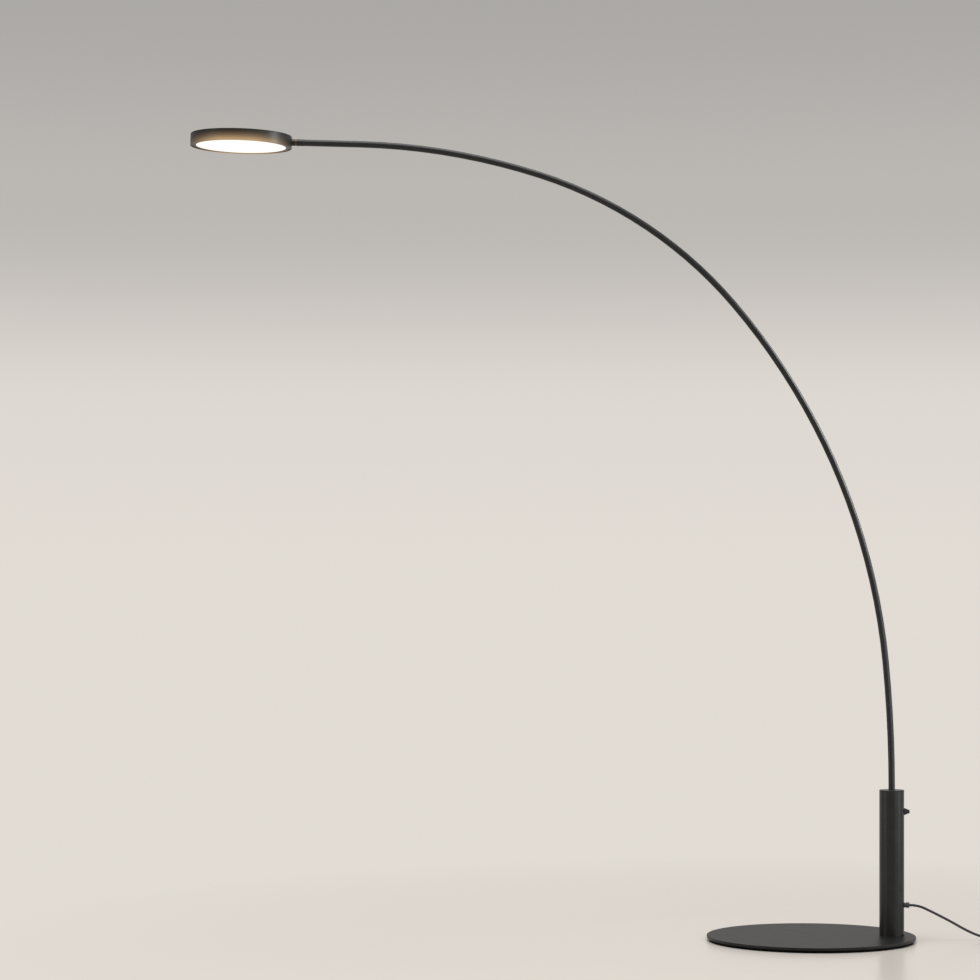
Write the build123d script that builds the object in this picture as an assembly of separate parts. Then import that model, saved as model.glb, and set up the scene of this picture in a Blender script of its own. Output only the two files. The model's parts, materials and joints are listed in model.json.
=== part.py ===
from build123d import *
import os
from math import asin, cos, degrees, dist, pi, radians, sin, sqrt, tan

# Arc floor lamp, in millimetres.
# The origin is the middle of the base's underside on the floor. +Z is up, the arc reaches
# over the base towards -X and lies in the XZ plane, and the cord leaves towards +X.

# Base
BASE_DIAMETER = 480.0
PLATE_THICKNESS = 6.0
PLATE_EDGE_ROUND = 1.5
PAD_THICKNESS = 6.0
PAD_INSET = 6.0
PAD_HOLE_DIAMETER = 50.0
BASE_BOLT_DIAMETER = 6.0
BASE_BOLT_HEAD = 12.0
BASE_BOLT_HEAD_HEIGHT = 3.0
BASE_BOLT_LENGTH = 16.0
BASE_BOLT_WALL_GAP = 10.0
BASE_BOLT_COUNT = 4

# Column: its inset is from the plate's rim to the column's axis
COLUMN_INSET = 54.0
COLUMN_DIAMETER = 57.0
COLUMN_WALL = 2.0
COLUMN_HEIGHT = 332.5
COLUMN_EDGE = 0.6
FOOT_HEIGHT = 14.0
CAP_THICKNESS = 2.5
CAP_EDGE = 0.6
CAP_SPIGOT_HEIGHT = 10.0
GRUB_DIAMETER = 4.0
GRUB_LENGTH = 5.0
GRUB_ANGLES = (60.0, 120.0)

# Arc tube: a straight stem, four bends that run into each other, and a straight tip
TUBE_DIAMETER = 15.0
TUBE_WALL = 1.5
STEM_RISE = 5.0
LOWER_BEND_RADIUS = 3010.0
LOWER_BEND_ANGLE = 5.5
RISING_BEND_RADIUS = 1493.0
RISING_BEND_ANGLE = 34.9
CROWN_BEND_RADIUS = 983.0
CROWN_BEND_ANGLE = 31.7
OUTER_BEND_RADIUS = 1482.0
OUTER_BEND_ANGLE = 16.4
TIP_RUN = 127.0

# Swivel socket in the column
SOCKET_WALL = 1.5
BUSH_WALL = 1.5
SOCKET_LENGTH = 100.0
SOCKET_FLOOR = 4.0
SOCKET_CABLE_HOLE = 8.0
BUSH_LENGTH = 16.0
WASHER_THICKNESS = 1.5
SWIVEL_LIMIT = 60.0
STOP_PIN_DIAMETER = 4.0
STOP_PIN_RISE = 50.0
STOP_PIN_INSIDE = 0.5
BRAKE_SCREW_DIAMETER = 5.0
BRAKE_SCREW_LENGTH = 4.0
BRAKE_RISE = 34.0
GROMMET_LENGTH = 8.0

# Electrical pieces in the column
DRIVER_DEPTH = 22.0
DRIVER_WIDTH = 30.0
DRIVER_LENGTH = 90.0
DRIVER_RISE = 24.0
DRIVER_EDGE = 1.5
BRACKET_THICKNESS = 1.5
BRACKET_WIDTH = 16.0
BRACKET_FLANGE = 9.0
BRACKET_WALL_GAP = 2.0
PAN_HEAD_SHARE = 2.0
PAN_HEAD_RISE_SHARE = 0.7
KEY_SHARE = 2 / 3
BRACKET_SCREW_DIAMETER = 4.0
BRACKET_SCREW_LENGTH = 8.0
DRIVER_SCREW_DIAMETER = 3.0
DRIVER_SCREW_LENGTH = 6.0
DRIVER_SCREW_EDGE = 15.0
LEAD_DIAMETER = 3.5
SWITCH_LEAD_OFFSET = 7.0
MAINS_BEND = 12.0
CABLE_DIAMETER = 4.4

# Push switch on the column's side
SWITCH_BELOW_CAP = 47.5
SWITCH_BARREL = 10.0
SWITCH_BORE = 6.4
SWITCH_BODY_HEIGHT = 18.0
SWITCH_BODY_WIDTH = 14.0
SWITCH_BODY_DEPTH = 8.0
SWITCH_BORE_DEPTH = 2.0
BEZEL_BASE = 17.2
BEZEL_TIP = 10.6
BEZEL_LENGTH = 7.8
BEZEL_SHELF = 3.5
BUTTON_DIAMETER = 9.0
BUTTON_STEM = 6.0
BUTTON_STAND = 4.4
BUTTON_TRAVEL = 2.5
BUTTON_ROUND = 0.8
NUT_WIDTH = 13.0
NUT_THICKNESS = 3.0
SADDLE_DEPTH = 4.0

# Cable gland on the column's side
GLAND_HEIGHT = 81.5
GLAND_DIAMETER = 12.6
GLAND_FLANGE_DIAMETER = 11.2
GLAND_BARREL = 10.0
GLAND_FLANGE = 5.0
GLAND_CAP_LENGTH = 7.0
GLAND_INSIDE = 9.0
GLAND_EDGE = 1.0
SEAL_DIAMETER = 9.0
SEAL_LENGTH = 4.0

# Swivel at the arc's tip
COLLAR_DIAMETER = 15.6
COLLAR_LENGTH = 17.3
COLLAR_LIP_DIAMETER = 16.6
COLLAR_LIP_LENGTH = 2.2
COLLAR_FRONT = 4.0
COLLAR_EDGE = 0.6
PLUG_SPIGOT_LENGTH = 25.0
PLUG_SEAT_LENGTH = 4.0
PIN_JOURNAL = 9.0
PIN_SHOULDER = 14.2
PIN_SHOULDER_LENGTH = 4.4
PIN_THREAD = 7.0
PIN_TAIL = 8.0
PIN_TAIL_LENGTH = 6.0
PIN_NUT_WIDTH = 10.0
PIN_NUT_THICKNESS = 4.0
SPRING_WASHER_THICKNESS = 1.0
STUB_DIAMETER = 15.6
STUB_LENGTH = 7.8
STUB_TAIL = 10.0
STUB_TAIL_LENGTH = 8.5
STUB_NUT_WIDTH = 14.0
STUB_NUT_THICKNESS = 4.0

# Head
HEAD_DIAMETER = 233.0
HEAD_HEIGHT = 27.0
HEAD_WALL = 2.0
HEAD_TOP = 2.5
HEAD_EDGE_ROUND = 1.2
HEAD_LIP = 1.2
BEZEL_RING_WIDTH = 11.0
BEZEL_RING_THICKNESS = 2.5
DIFFUSER_LEDGE = 5.5
DIFFUSER_FLANGE = 1.5
SPREADER_RIM_GAP = 14.5
SPREADER_THICKNESS = 4.0
BOARD_RIM_GAP = 2.0
BOARD_THICKNESS = 1.6
CHIP_SIZE = 5.0
CHIP_HEIGHT = 1.2
CHIP_RIM_GAP = 10.0
CHIP_RING_STEP = 29.0
CHIP_COUNTS = (24, 16, 8)
BOARD_SCREW_DIAMETER = 3.0
BOARD_SCREW_HEAD = 5.5
BOARD_SCREW_HEAD_HEIGHT = 2.0
BOARD_SCREW_LENGTH = 4.6
BOARD_SCREW_RIM_GAP = 24.0
BOARD_SCREW_COUNT = 4
TERMINAL_LENGTH = 14.0
TERMINAL_WIDTH = 14.0
TERMINAL_HEIGHT = 8.0
TERMINAL_EDGE_GAP = 1.0
CABLE_PAST_STUB = 3.0

# Power cord: its free stretch, then the coil, its tie and its plug.
# The route's points are how far out from the gland's mouth, how far along Y and how high,
# and on the floor the cord lies as high as the coil's lower layer.
CORD_DIAMETER = 5.8
CORD_EXIT_RUN = 20.0
CORD_ROUTE = (
    (55.0, 0.6, 64.5),
    (96.0, 2.0, 43.5),
    (135.0, 4.0, 21.0),
    (171.0, 5.6, 6.2),
)
CORD_ON_FLOOR = ((205.0, 6.0), (233.2, 6.0))
CORD_ARC_SHARE = 0.45
COIL_INNER_RADIUS = 23.0
COIL_GAP = 1.4
# Quarter turns: spiralling in, climbing to the upper layer, and spiralling out again
COIL_QUARTER_COUNTS = (13, 2, 14)
TAIL_RUNS = (18.0, 20.0, 18.0)
TIE_THICKNESS = 0.8
TIE_WIDTH = 8.0
PLUG_WIDTH = 34.0
PLUG_THICKNESS = 14.0
PLUG_LENGTH = 14.0
PLUG_TAPER_LENGTH = 14.0
PLUG_NECK_WIDTH = 13.0
PLUG_NECK_THICKNESS = 10.0
PLUG_RELIEF_DIAMETER = 9.0
PLUG_RELIEF_LENGTH = 10.0
PLUG_EDGE = 3.0
PIN_DIAMETER = 4.0
PIN_LENGTH = 19.0
PIN_SPACING = 18.6
PIN_DEPTH = 8.0
PIN_END_ROUND = 1.0

# Clearances
SEAT = 0.05
RUNNING = 0.05
SLIDING = 0.2
AXIAL = 0.1
CLEAR = 0.3
TIE_CLEARANCE = 0.8
CUT_THROUGH = 1.0

# Places worked out from the sizes above
COLUMN_X = BASE_DIAMETER / 2 - COLUMN_INSET
PLATE_TOP = PAD_THICKNESS + PLATE_THICKNESS
COLUMN_TOP = PLATE_TOP + COLUMN_HEIGHT
CAP_TOP = COLUMN_TOP + CAP_THICKNESS
COLUMN_BORE = COLUMN_DIAMETER - 2 * COLUMN_WALL
FOOT_TOP = PLATE_TOP + FOOT_HEIGHT
SOCKET_BOTTOM = COLUMN_TOP - SOCKET_LENGTH
WASHER_BOTTOM = SOCKET_BOTTOM + SOCKET_FLOOR
WASHER_TOP = WASHER_BOTTOM + WASHER_THICKNESS
STEM_BOTTOM = WASHER_TOP + AXIAL
TUBE_BORE = TUBE_DIAMETER - 2 * TUBE_WALL
SOCKET_BORE = TUBE_DIAMETER + 2 * BUSH_WALL
SOCKET_DIAMETER = SOCKET_BORE + 2 * SOCKET_WALL
STOP_PIN_HEIGHT = SOCKET_BOTTOM + STOP_PIN_RISE
BRAKE_HEIGHT = SOCKET_BOTTOM + BRAKE_RISE
CABLE_BOTTOM = SOCKET_BOTTOM - SOCKET_FLOOR
SWITCH_HEIGHT = COLUMN_TOP - SWITCH_BELOW_CAP
DRIVER_BOTTOM = GLAND_HEIGHT + DRIVER_RISE
DRIVER_TOP = DRIVER_BOTTOM + DRIVER_LENGTH
BRACKET_BACK = sqrt((COLUMN_BORE / 2) ** 2 - (BRACKET_WIDTH / 2) ** 2) - BRACKET_WALL_GAP
BRACKET_FACE = BRACKET_FLANGE + BRACKET_THICKNESS - BRACKET_BACK
GLAND_END = COLUMN_DIAMETER / 2 + GLAND_FLANGE + GLAND_CAP_LENGTH
HEX_CORNER_SHARE = 1 / sqrt(3)
COLLAR_CAVITY = 2 * PIN_NUT_WIDTH * HEX_CORNER_SHARE + 2 * CLEAR
SPRING_WASHER_DIAMETER = COLLAR_CAVITY - 2 * CLEAR
HEAD_RADIUS = HEAD_DIAMETER / 2
HEAD_BORE_RADIUS = HEAD_RADIUS - HEAD_WALL
SPREADER_RADIUS = HEAD_BORE_RADIUS - SPREADER_RIM_GAP
BOARD_RADIUS = SPREADER_RADIUS - BOARD_RIM_GAP
STUB_START = COLLAR_LENGTH + PIN_SHOULDER_LENGTH
WALL_OUTSIDE = STUB_START + STUB_LENGTH
WALL_INSIDE = WALL_OUTSIDE + HEAD_WALL
HEAD_CENTRE = WALL_OUTSIDE + HEAD_RADIUS
STUB_END = WALL_INSIDE + STUB_TAIL_LENGTH
CABLE_END = STUB_END + CABLE_PAST_STUB
HEAD_CEILING = HEAD_HEIGHT / 2 - HEAD_TOP
SPREADER_FACE = HEAD_CEILING - SPREADER_THICKNESS
BOARD_FACE = SPREADER_FACE - BOARD_THICKNESS
HEAD_FLOOR = -HEAD_HEIGHT / 2
LIT_FACE = HEAD_FLOOR + HEAD_LIP
RING_LEDGE = LIT_FACE + BEZEL_RING_THICKNESS
OPENING_RADIUS = HEAD_BORE_RADIUS - BEZEL_RING_WIDTH
COIL_HEIGHT = TIE_THICKNESS + CLEAR + CORD_DIAMETER / 2
COIL_STEP = CORD_DIAMETER + COIL_GAP
ARC_BENDS = (
    (LOWER_BEND_RADIUS, LOWER_BEND_ANGLE),
    (RISING_BEND_RADIUS, RISING_BEND_ANGLE),
    (CROWN_BEND_RADIUS, CROWN_BEND_ANGLE),
    (OUTER_BEND_RADIUS, OUTER_BEND_ANGLE),
)
QUARTERS_IN, QUARTERS_CLIMB, QUARTERS_OUT = COIL_QUARTER_COUNTS
QUARTERS = QUARTERS_IN + QUARTERS_CLIMB + QUARTERS_OUT
FLOOR_ALIGN = (Align.CENTER, Align.CENTER, Align.MIN)


# Simple shapes
def rod(diameter, low, high):
    """A round bar along Z between two heights."""
    return Pos(0, 0, low) * Cylinder(diameter / 2, high - low, align=FLOOR_ALIGN)


def ring(outer, inner, low, high):
    """A round sleeve along Z between two heights."""
    return Pos(0, 0, low) * extrude(Circle(outer / 2) - Circle(inner / 2), high - low)


def hex_nut(width, bore, low, high):
    """A six-sided nut along Z, with corners on Y."""
    outline = Rot(0, 0, 90) * RegularPolygon(width * HEX_CORNER_SHARE, 6)
    return Pos(0, 0, low) * extrude(outline - Circle(bore / 2), high - low)


def hex_key(screw, low, high):
    """The six-sided key hole of a screw of this diameter."""
    return Pos(0, 0, low) * extrude(RegularPolygon(screw * KEY_SHARE / 2, 6), high - low)


def tube_along(path, diameter, bore=0.0):
    """A round tube, or a solid cord, swept along a path."""
    section = Circle(diameter / 2)
    if bore > 0:
        section -= Circle(bore / 2)
    return sweep(Plane(origin=path @ 0, z_dir=path % 0) * section, path=path)


def on_column(shape):
    """Puts a shape made about Z onto the column's axis."""
    return Pos(COLUMN_X, 0, 0) * shape


def on_side(shape, height):
    """Lays a shape made along Z out from the column's axis towards +X."""
    return Pos(COLUMN_X, 0, height) * Rot(0, 90, 0) * shape


def lying_column(diameter):
    """The column's round, as seen by a shape that on_side will lay."""
    return Rot(0, 90, 0) * Cylinder(diameter / 2, COLUMN_HEIGHT)


# Arc centre line
def arc_line(bottom, tip_run):
    """The arc's centre line: up the stem, round the bends and straight out at the tip."""
    runs = [Line((COLUMN_X, bottom), (COLUMN_X, CAP_TOP + STEM_RISE))]
    for radius, turn in ARC_BENDS:
        last = runs[-1]
        runs.append(JernArc(start=last @ 1, tangent=last % 1, radius=radius, arc_size=turn))
    last = runs[-1]
    runs.append(Line(last @ 1, (last @ 1) + (last % 1) * tip_run))
    return Plane.XZ * Wire(runs)


ARC_LINE = arc_line(STEM_BOTTOM, TIP_RUN)
TIP_POINT = ARC_LINE @ 1
TIP_DIRECTION = ARC_LINE % 1
TIP = Plane(TIP_POINT, x_dir=TIP_DIRECTION, z_dir=TIP_DIRECTION.cross(Vector(0, -1, 0))).location


def at_tip(shape):
    """Lays a shape made along Z out from the tube's end, along the tube."""
    return TIP * Rot(0, 90, 0) * shape


def in_head(shape):
    """Puts a shape made about the head's middle into the head."""
    return TIP * Pos(HEAD_CENTRE, 0, 0) * shape


# Base
def base_bolt_places():
    return PolarLocations(COLUMN_BORE / 2 - BASE_BOLT_WALL_GAP, BASE_BOLT_COUNT, start_angle=45)


def base_bolt(extra):
    """A countersunk bolt, or its hole when extra is its clearance."""
    head = Cone(BASE_BOLT_HEAD / 2 + extra, BASE_BOLT_DIAMETER / 2 + extra, BASE_BOLT_HEAD_HEIGHT,
                align=FLOOR_ALIGN)
    shank = rod(BASE_BOLT_DIAMETER + 2 * extra, 0, BASE_BOLT_LENGTH)
    return Pos(0, 0, PAD_THICKNESS) * (head + shank)


def base_plate():
    plate = rod(BASE_DIAMETER, PAD_THICKNESS, PLATE_TOP)
    plate = fillet(plate.edges().group_by(Axis.Z)[-1], PLATE_EDGE_ROUND)
    for place in base_bolt_places():
        plate -= on_column(place * base_bolt(SEAT))
    return plate


def base_pad():
    pad = rod(BASE_DIAMETER - 2 * PAD_INSET, 0, PAD_THICKNESS)
    return pad - on_column(rod(PAD_HOLE_DIAMETER, 0, PAD_THICKNESS))


def base_bolts():
    key = hex_key(BASE_BOLT_DIAMETER, PAD_THICKNESS, PAD_THICKNESS + BASE_BOLT_HEAD_HEIGHT)
    bolt = base_bolt(0) - key
    return [on_column(place * bolt) for place in base_bolt_places()]


# Column
def column_tube():
    tube = rod(COLUMN_DIAMETER, PLATE_TOP, COLUMN_TOP)
    tube = chamfer(tube.edges().group_by(Axis.Z)[-1], COLUMN_EDGE)
    tube = on_column(tube - rod(COLUMN_BORE, PLATE_TOP, COLUMN_TOP))
    tube -= on_side(rod(SWITCH_BARREL + 2 * SLIDING, 0, COLUMN_DIAMETER), SWITCH_HEIGHT)
    tube -= on_side(rod(GLAND_BARREL + 2 * SLIDING, 0, COLUMN_DIAMETER), GLAND_HEIGHT)
    for angle in GRUB_ANGLES:
        tube -= grub_place(angle) * rod(GRUB_DIAMETER + 2 * SEAT, 0, COLUMN_DIAMETER)
    return tube


def column_foot():
    foot = rod(COLUMN_BORE - 2 * SEAT, PLATE_TOP, FOOT_TOP)
    for place in base_bolt_places():
        foot -= place * base_bolt(SEAT)
    foot -= Pos(bracket_screw_offset(), 0, FOOT_TOP - BRACKET_SCREW_LENGTH) * rod(
        BRACKET_SCREW_DIAMETER + 2 * SEAT, 0, BRACKET_SCREW_LENGTH)
    return on_column(foot)


def column_cap():
    disc = rod(COLUMN_DIAMETER, COLUMN_TOP, CAP_TOP)
    disc = chamfer(disc.edges().group_by(Axis.Z)[-1], CAP_EDGE)
    spigot_low = COLUMN_TOP - CAP_SPIGOT_HEIGHT
    spigot = ring(COLUMN_BORE - 2 * SEAT, SOCKET_DIAMETER + 2 * SEAT, spigot_low, COLUMN_TOP)
    cap = on_column(disc - rod(TUBE_DIAMETER + 2 * CLEAR, COLUMN_TOP, CAP_TOP) + spigot)
    for angle in GRUB_ANGLES:
        cap -= grub_place(angle) * grub(SEAT)
    return cap


def grub_place(angle):
    """A place on the column's wall, at the middle of the cap's spigot, with Z pointing out."""
    return Pos(COLUMN_X, 0, COLUMN_TOP - CAP_SPIGOT_HEIGHT / 2) * Rot(0, 0, angle) * Rot(0, 90, 0)


def grub(extra):
    """A set screw whose outer end is just under the column's skin."""
    end = COLUMN_DIAMETER / 2 - CLEAR
    return rod(GRUB_DIAMETER + 2 * extra, end - GRUB_LENGTH - extra, end)


def cap_grub_screws():
    end = COLUMN_DIAMETER / 2 - CLEAR
    key = hex_key(GRUB_DIAMETER, end - GRUB_LENGTH / 2, end)
    return [grub_place(angle) * (grub(0) - key) for angle in GRUB_ANGLES]


# Swivel socket
def stop_slot():
    """The window that lets the stop pin swing to its limits."""
    swing = SWIVEL_LIMIT + degrees(asin((STOP_PIN_DIAMETER / 2 + CLEAR) / (SOCKET_BORE / 2)))
    window = Pos(SOCKET_DIAMETER / 2, STOP_PIN_HEIGHT) * Rectangle(
        2 * (SOCKET_WALL + CUT_THROUGH), STOP_PIN_DIAMETER + 2 * CLEAR)
    return Rot(0, 0, 180 - swing) * revolve(Plane.XZ * window, Axis.Z, 2 * swing)


def brake_place():
    return Pos(0, 0, BRAKE_HEIGHT) * Rot(-90, 0, 0)


def arc_socket():
    socket = ring(SOCKET_DIAMETER, SOCKET_BORE, SOCKET_BOTTOM, COLUMN_TOP)
    socket += ring(SOCKET_DIAMETER, SOCKET_CABLE_HOLE, SOCKET_BOTTOM, WASHER_BOTTOM)
    socket -= stop_slot()
    socket -= brake_place() * rod(BRAKE_SCREW_DIAMETER + 2 * SEAT, 0, SOCKET_DIAMETER)
    return on_column(socket)


def bush(low):
    return on_column(ring(SOCKET_BORE - 2 * SEAT, TUBE_DIAMETER + 2 * RUNNING, low, low + BUSH_LENGTH))


def thrust_washer():
    return on_column(ring(SOCKET_BORE - 2 * SEAT, SOCKET_CABLE_HOLE, WASHER_BOTTOM, WASHER_TOP))


def brake_pad():
    pad = rod(BRAKE_SCREW_DIAMETER, TUBE_DIAMETER / 2 - CUT_THROUGH, SOCKET_BORE / 2)
    pad = brake_place() * pad - rod(TUBE_DIAMETER + 2 * RUNNING, SOCKET_BOTTOM, COLUMN_TOP)
    return on_column(pad)


def brake_screw():
    low = SOCKET_BORE / 2
    end = low + BRAKE_SCREW_LENGTH
    key = hex_key(BRAKE_SCREW_DIAMETER, end - BRAKE_SCREW_LENGTH / 2, end)
    return on_column(brake_place() * (rod(BRAKE_SCREW_DIAMETER, low, end) - key))


# Arc
def stop_pin_place():
    return Pos(COLUMN_X, 0, STOP_PIN_HEIGHT) * Rot(0, -90, 0)


def arc_tube():
    tube = tube_along(ARC_LINE, TUBE_DIAMETER, TUBE_BORE)
    length = ARC_LINE.length
    print("arc tube length", round(length, 1), "volume over section times length",
          round(tube.volume / (pi / 4 * (TUBE_DIAMETER ** 2 - TUBE_BORE ** 2) * length), 5))
    return tube - stop_pin_place() * rod(STOP_PIN_DIAMETER + 2 * SEAT, 0, TUBE_DIAMETER)


def stop_pin():
    return stop_pin_place() * rod(
        STOP_PIN_DIAMETER, TUBE_BORE / 2 - STOP_PIN_INSIDE, SOCKET_DIAMETER / 2)


def stem_grommet():
    return on_column(ring(
        TUBE_BORE - 2 * SEAT, CABLE_DIAMETER + 2 * CLEAR, STEM_BOTTOM, STEM_BOTTOM + GROMMET_LENGTH))


def arc_cable():
    path = arc_line(CABLE_BOTTOM, TIP_RUN + CABLE_END)
    cable = tube_along(path, CABLE_DIAMETER)
    print("arc cable length", round(path.length, 1))
    return cable


def tube_plug():
    """The plug in the tube's end that the swivel collar screws onto."""
    bore = CABLE_DIAMETER + 2 * CLEAR
    plug = ring(TUBE_BORE - 2 * SEAT, bore, -PLUG_SPIGOT_LENGTH, 0)
    return at_tip(plug + ring(COLLAR_CAVITY - 2 * SEAT, bore, 0, PLUG_SEAT_LENGTH))


def swivel_collar():
    body = rod(COLLAR_DIAMETER, 0, COLLAR_LENGTH)
    body = chamfer(body.edges().group_by(Axis.Z)[0], COLLAR_EDGE)
    body += rod(COLLAR_LIP_DIAMETER, COLLAR_LENGTH - COLLAR_LIP_LENGTH, COLLAR_LENGTH)
    body -= rod(COLLAR_CAVITY, 0, COLLAR_LENGTH - COLLAR_FRONT)
    return at_tip(body - rod(PIN_JOURNAL + 2 * RUNNING, 0, COLLAR_LENGTH))


# Swivel pieces that turn with the head
def pin_nut_end():
    """How far out the pin's nut reaches, behind the spring washer."""
    return COLLAR_LENGTH - COLLAR_FRONT - AXIAL - SPRING_WASHER_THICKNESS


def swivel_pin():
    nut_end = pin_nut_end()
    pin = rod(PIN_THREAD, nut_end - PIN_NUT_THICKNESS, nut_end)
    pin += rod(PIN_JOURNAL, nut_end, COLLAR_LENGTH + AXIAL)
    pin += rod(PIN_SHOULDER, COLLAR_LENGTH + AXIAL, STUB_START)
    pin += rod(PIN_TAIL, STUB_START, STUB_START + PIN_TAIL_LENGTH)
    return at_tip(pin - rod(CABLE_DIAMETER + 2 * CLEAR, 0, STUB_END))


def pin_nut():
    nut_end = pin_nut_end()
    return at_tip(hex_nut(PIN_NUT_WIDTH, PIN_THREAD + 2 * SEAT, nut_end - PIN_NUT_THICKNESS, nut_end))


def spring_washer():
    low = pin_nut_end()
    return at_tip(ring(SPRING_WASHER_DIAMETER, PIN_JOURNAL + 2 * SEAT, low, low + SPRING_WASHER_THICKNESS))


def head_stub():
    stub = rod(STUB_DIAMETER, STUB_START, WALL_INSIDE)
    stub -= Pos(0, 0, HEAD_CENTRE) * Rot(0, 90, 0) * Cylinder(HEAD_RADIUS + SEAT, HEAD_DIAMETER)
    stub += rod(STUB_TAIL, WALL_OUTSIDE - CUT_THROUGH, STUB_END)
    stub -= rod(PIN_TAIL + 2 * SEAT, STUB_START, STUB_START + PIN_TAIL_LENGTH + AXIAL)
    return at_tip(stub - rod(CABLE_DIAMETER + 2 * CLEAR, STUB_START, STUB_END))


def stub_nut():
    corner = STUB_NUT_WIDTH * HEX_CORNER_SHARE
    start = HEAD_CENTRE - sqrt((HEAD_BORE_RADIUS - SEAT) ** 2 - corner ** 2)
    return at_tip(hex_nut(STUB_NUT_WIDTH, STUB_TAIL + 2 * SEAT, start, start + STUB_NUT_THICKNESS))


# Head
def head_housing():
    drum = rod(HEAD_DIAMETER, HEAD_FLOOR, HEAD_HEIGHT / 2)
    drum = fillet(drum.edges().group_by(Axis.Z)[-1], HEAD_EDGE_ROUND)
    drum -= rod(2 * HEAD_BORE_RADIUS, HEAD_FLOOR, HEAD_CEILING)
    return in_head(drum) - at_tip(rod(STUB_TAIL + 2 * SEAT, STUB_START, WALL_INSIDE + HEAD_WALL))


def head_bezel():
    return in_head(ring(
        2 * (HEAD_BORE_RADIUS - SEAT), 2 * OPENING_RADIUS, LIT_FACE, RING_LEDGE))


def diffuser():
    disc = rod(2 * (OPENING_RADIUS - SEAT), LIT_FACE, RING_LEDGE)
    flange = rod(2 * (OPENING_RADIUS + DIFFUSER_LEDGE), RING_LEDGE, RING_LEDGE + DIFFUSER_FLANGE)
    return in_head(disc + flange)


def heat_spreader():
    plate = rod(2 * SPREADER_RADIUS, SPREADER_FACE, HEAD_CEILING)
    for place in board_screw_places():
        plate -= place * board_screw_shank(SEAT)
    return in_head(plate)


def led_board():
    board = rod(2 * BOARD_RADIUS, BOARD_FACE, SPREADER_FACE)
    for place in board_screw_places():
        board -= place * board_screw_shank(SEAT)
    return in_head(board)


def led_chips():
    chips = []
    for step, count in enumerate(CHIP_COUNTS):
        radius = BOARD_RADIUS - CHIP_RIM_GAP - step * CHIP_RING_STEP
        for place in PolarLocations(radius, count, start_angle=180 / count):
            chips.append(in_head(place * Pos(0, 0, BOARD_FACE - CHIP_HEIGHT) * Box(
                CHIP_SIZE, CHIP_SIZE, CHIP_HEIGHT, align=FLOOR_ALIGN)))
    return chips


def board_screw_places():
    return PolarLocations(BOARD_RADIUS - BOARD_SCREW_RIM_GAP, BOARD_SCREW_COUNT, start_angle=45)


def board_screw_shank(extra):
    return rod(BOARD_SCREW_DIAMETER + 2 * extra, BOARD_FACE, BOARD_FACE + BOARD_SCREW_LENGTH + extra)


def board_screws():
    head = rod(BOARD_SCREW_HEAD, BOARD_FACE - BOARD_SCREW_HEAD_HEIGHT, BOARD_FACE)
    return [in_head(place * (head + board_screw_shank(0))) for place in board_screw_places()]


def terminal_start():
    """The terminal block's face towards the stub, along the tube's axis."""
    return HEAD_CENTRE - BOARD_RADIUS + TERMINAL_EDGE_GAP


def head_terminal():
    block = Box(TERMINAL_LENGTH, TERMINAL_WIDTH, TERMINAL_HEIGHT,
                align=(Align.MIN, Align.CENTER, Align.MAX))
    return TIP * Pos(terminal_start(), 0, BOARD_FACE) * block


def head_lead():
    return at_tip(rod(CABLE_DIAMETER, CABLE_END + AXIAL, terminal_start()))


# Push switch
def bezel_shelf():
    return COLUMN_DIAMETER / 2 + BEZEL_SHELF


def wall_nut_face(width):
    """Where a nut's corners meet the column's bore."""
    return sqrt((COLUMN_BORE / 2 - SEAT) ** 2 - (width * HEX_CORNER_SHARE) ** 2)


def switch_front():
    return wall_nut_face(NUT_WIDTH) - NUT_THICKNESS


def switch_body():
    front = switch_front()
    block = Pos(0, 0, front - SWITCH_BODY_DEPTH) * Box(
        SWITCH_BODY_HEIGHT, SWITCH_BODY_WIDTH, SWITCH_BODY_DEPTH, align=FLOOR_ALIGN)
    body = block + rod(SWITCH_BARREL, front, bezel_shelf())
    return on_side(body - rod(SWITCH_BORE, front - SWITCH_BORE_DEPTH, bezel_shelf()), SWITCH_HEIGHT)


def wall_nut(bore, height):
    end = wall_nut_face(NUT_WIDTH)
    return on_side(hex_nut(NUT_WIDTH, bore + 2 * SEAT, end - NUT_THICKNESS, end), height)


def switch_bezel():
    skin = COLUMN_DIAMETER / 2
    cone = Pos(0, 0, skin) * Cone(BEZEL_BASE / 2, BEZEL_TIP / 2, BEZEL_LENGTH, align=FLOOR_ALIGN)
    cone += rod(BEZEL_BASE, skin - SADDLE_DEPTH, skin)
    cone -= lying_column(COLUMN_DIAMETER + 2 * SEAT)
    cone -= rod(SWITCH_BARREL + 2 * SEAT, 0, bezel_shelf())
    return on_side(cone - rod(BUTTON_DIAMETER + 2 * SLIDING, 0, skin + BEZEL_LENGTH), SWITCH_HEIGHT)


def switch_button():
    back = bezel_shelf() + BUTTON_TRAVEL + CLEAR
    tip = COLUMN_DIAMETER / 2 + BEZEL_LENGTH + BUTTON_STAND
    button = rod(BUTTON_DIAMETER, back, tip)
    button = fillet(button.edges().group_by(Axis.Z)[-1], BUTTON_ROUND)
    stem_end = switch_front() - SWITCH_BORE_DEPTH + BUTTON_TRAVEL + CLEAR
    return on_side(button + rod(BUTTON_STEM, stem_end, back), SWITCH_HEIGHT)


# Cable gland
def gland_body():
    skin = COLUMN_DIAMETER / 2
    flange = rod(GLAND_FLANGE_DIAMETER, skin - SADDLE_DEPTH, skin + GLAND_FLANGE)
    flange -= lying_column(COLUMN_DIAMETER + 2 * SEAT)
    body = flange + rod(GLAND_BARREL, skin - COLUMN_WALL - GLAND_INSIDE, skin + GLAND_FLANGE)
    return on_side(body - rod(CORD_DIAMETER + 2 * SLIDING, 0, GLAND_END), GLAND_HEIGHT)


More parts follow.
